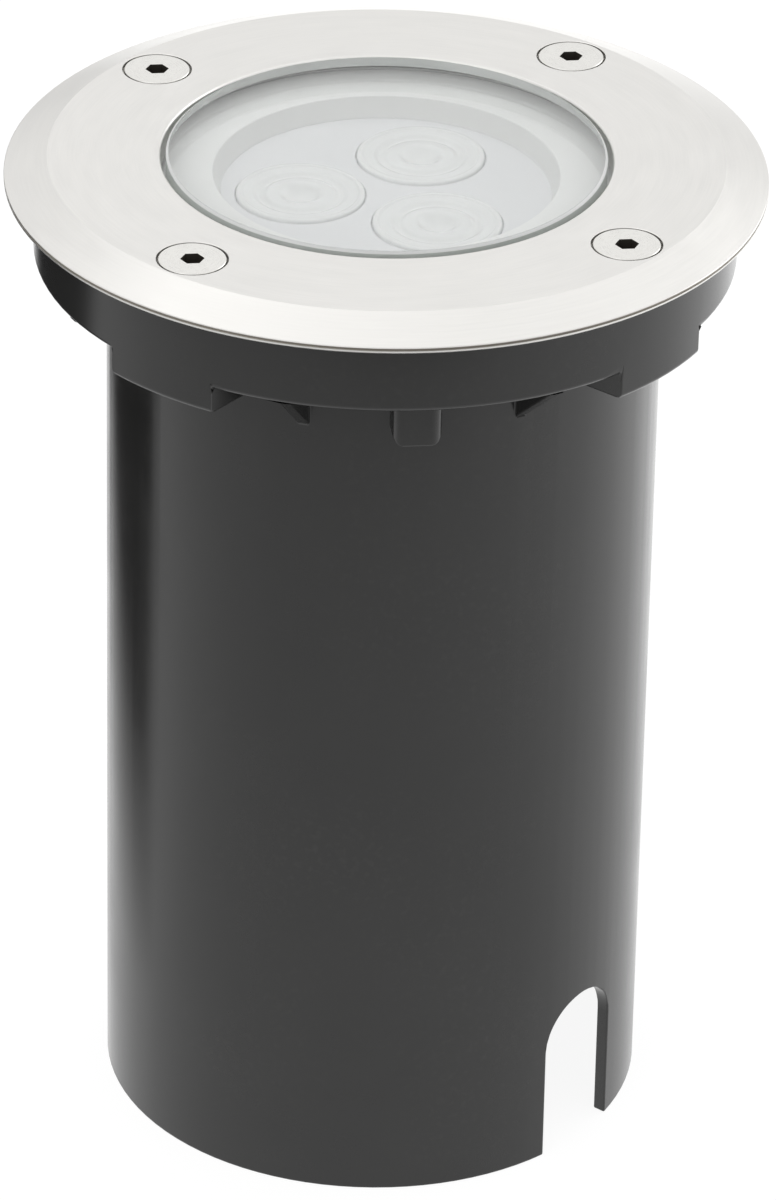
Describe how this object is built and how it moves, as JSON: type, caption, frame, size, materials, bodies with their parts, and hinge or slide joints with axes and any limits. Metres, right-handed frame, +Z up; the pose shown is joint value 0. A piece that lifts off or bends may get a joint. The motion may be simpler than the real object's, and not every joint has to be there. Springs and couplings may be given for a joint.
{
  "type": "recessed light",
  "caption": "Round in-ground LED light: stepped glass in a bevelled steel trim ring, held by countersunk screws on a black tubular sleeve with a lugged collar and arched cable notches.",
  "frame": {"origin": "centre of the sleeve's open lower end, at the level the part stands on", "axes": "+Z up along the light's axis towards the glass; the cover screws stand on the diagonals between X and Y, and the cable notches lie under the +X -Y and -X +Y screws"},
  "size_m": [0.11, 0.11, 0.152],
  "materials": {
    "brushed_stainless": "fine circular brushed stainless steel, bare",
    "screw_steel": "turned stainless steel with a fine face-turned head",
    "black_rubber": "matt black nitrile rubber",
    "grey_rubber": "matt grey rubber",
    "white_silicone": "soft white silicone",
    "clear_glass": "clear tempered glass with a green-grey edge",
    "white_plastic": "matt white moulded plastic",
    "lens_plate_plastic": "satin white moulded plastic",
    "lens_acrylic": "clear moulded acrylic",
    "white_board": "white solder mask on an aluminium board",
    "led_phosphor": "yellow phosphor under a clear dome",
    "zinc_screws": "bright zinc plate",
    "thermal_pad": "soft blue-grey silicone pad",
    "sink_aluminium": "plain extruded aluminium",
    "housing_aluminium": "black powder coat on die-cast aluminium",
    "grey_plastic": "grey moulded plastic",
    "green_board": "green solder mask on glass fibre",
    "component_case": "moulded and sleeved component bodies",
    "ivory_plastic": "ivory moulded plastic",
    "red_insulation": "red and black lead insulation",
    "brown_insulation": "brown and blue lead insulation",
    "gland_nylon": "black moulded nylon",
    "sleeve_plastic": "black satin moulded plastic with a fine grain",
    "insert_brass": "turned brass"
  },
  "bodies": {
    "sleeve": {"sleeve": "sleeve_plastic", "thread_inserts": "insert_brass"},
    "lamp": {"lamp_housing": "housing_aluminium", "window_glass": "clear_glass", "top_gasket": "grey_rubber", "seat_gasket": "white_silicone", "reflector_ring": "white_plastic", "lens_plate": "lens_plate_plastic", "lenses": "lens_acrylic", "led_board": "white_board", "led_emitters": "led_phosphor", "board_screws": "zinc_screws", "thermal_pad": "thermal_pad", "heat_sink": "sink_aluminium", "sink_screws": "zinc_screws", "driver_tray": "grey_plastic", "driver_board": "green_board", "driver_components": "component_case", "driver_lid": "grey_plastic", "terminal_block": "ivory_plastic", "led_leads": "red_insulation", "mains_leads": "brown_insulation", "gland_body": "gland_nylon", "gland_o_ring": "black_rubber", "gland_locknut": "gland_nylon"},
    "cover": {"trim_ring": "brushed_stainless"},
    "seal_1": {"screw_seal_1": "black_rubber"},
    "screw_1": {"cover_screw_1": "screw_steel"},
    "seal_2": {"screw_seal_2": "black_rubber"},
    "screw_2": {"cover_screw_2": "screw_steel"},
    "seal_3": {"screw_seal_3": "black_rubber"},
    "screw_3": {"cover_screw_3": "screw_steel"},
    "seal_4": {"screw_seal_4": "black_rubber"},
    "screw_4": {"cover_screw_4": "screw_steel"},
    "gland_seal": {"gland_seal": "grey_rubber"},
    "gland_nut": {"gland_nut": "gland_nylon"}
  },
  "joints": [
    {"name": "lamp_lift", "type": "slide", "parent": "sleeve", "child": "lamp", "axis": [0, 0, 1], "range_m": [0, 0.105]},
    {"name": "cover_lift", "type": "slide", "parent": "lamp", "child": "cover", "axis": [0, 0, 1], "range_m": [0, 0.02]},
    {"name": "screw_1_rise", "type": "slide", "parent": "cover", "child": "seal_1", "axis": [0, 0, 1], "range_m": [0, 0.0072]},
    {"name": "screw_1_turn", "type": "hinge", "parent": "seal_1", "child": "screw_1", "pos_m": [0.03062, -0.03062, 0.1515], "axis": [0, 0, 1], "range_deg": [0, 3242]},
    {"name": "screw_2_rise", "type": "slide", "parent": "cover", "child": "seal_2", "axis": [0, 0, 1], "range_m": [0, 0.0072]},
    {"name": "screw_2_turn", "type": "hinge", "parent": "seal_2", "child": "screw_2", "pos_m": [0.03062, 0.03062, 0.1515], "axis": [0, 0, 1], "range_deg": [0, 3242]},
    {"name": "screw_3_rise", "type": "slide", "parent": "cover", "child": "seal_3", "axis": [0, 0, 1], "range_m": [0, 0.0072]},
    {"name": "screw_3_turn", "type": "hinge", "parent": "seal_3", "child": "screw_3", "pos_m": [-0.03062, 0.03062, 0.1515], "axis": [0, 0, 1], "range_deg": [0, 3242]},
    {"name": "screw_4_rise", "type": "slide", "parent": "cover", "child": "seal_4", "axis": [0, 0, 1], "range_m": [0, 0.0072]},
    {"name": "screw_4_turn", "type": "hinge", "parent": "seal_4", "child": "screw_4", "pos_m": [-0.03062, -0.03062, 0.1515], "axis": [0, 0, 1], "range_deg": [0, 3242]},
    {"name": "gland_seal_drop", "type": "slide", "parent": "lamp", "child": "gland_seal", "axis": [0, 0, -1], "range_m": [0, 0.006]},
    {"name": "gland_nut_turn", "type": "hinge", "parent": "gland_seal", "child": "gland_nut", "pos_m": [0, 0, 0.0453], "axis": [0, 0, -1], "range_deg": [0, 1441]}
  ],
  "couplings": [
    {"joint": "screw_1_turn", "follows": "screw_1_rise", "rad_per_m": 7854},
    {"joint": "screw_2_turn", "follows": "screw_2_rise", "rad_per_m": 7854},
    {"joint": "screw_3_turn", "follows": "screw_3_rise", "rad_per_m": 7854},
    {"joint": "screw_4_turn", "follows": "screw_4_rise", "rad_per_m": 7854},
    {"joint": "gland_nut_turn", "follows": "gland_seal_drop", "rad_per_m": 4188.8}
  ]
}
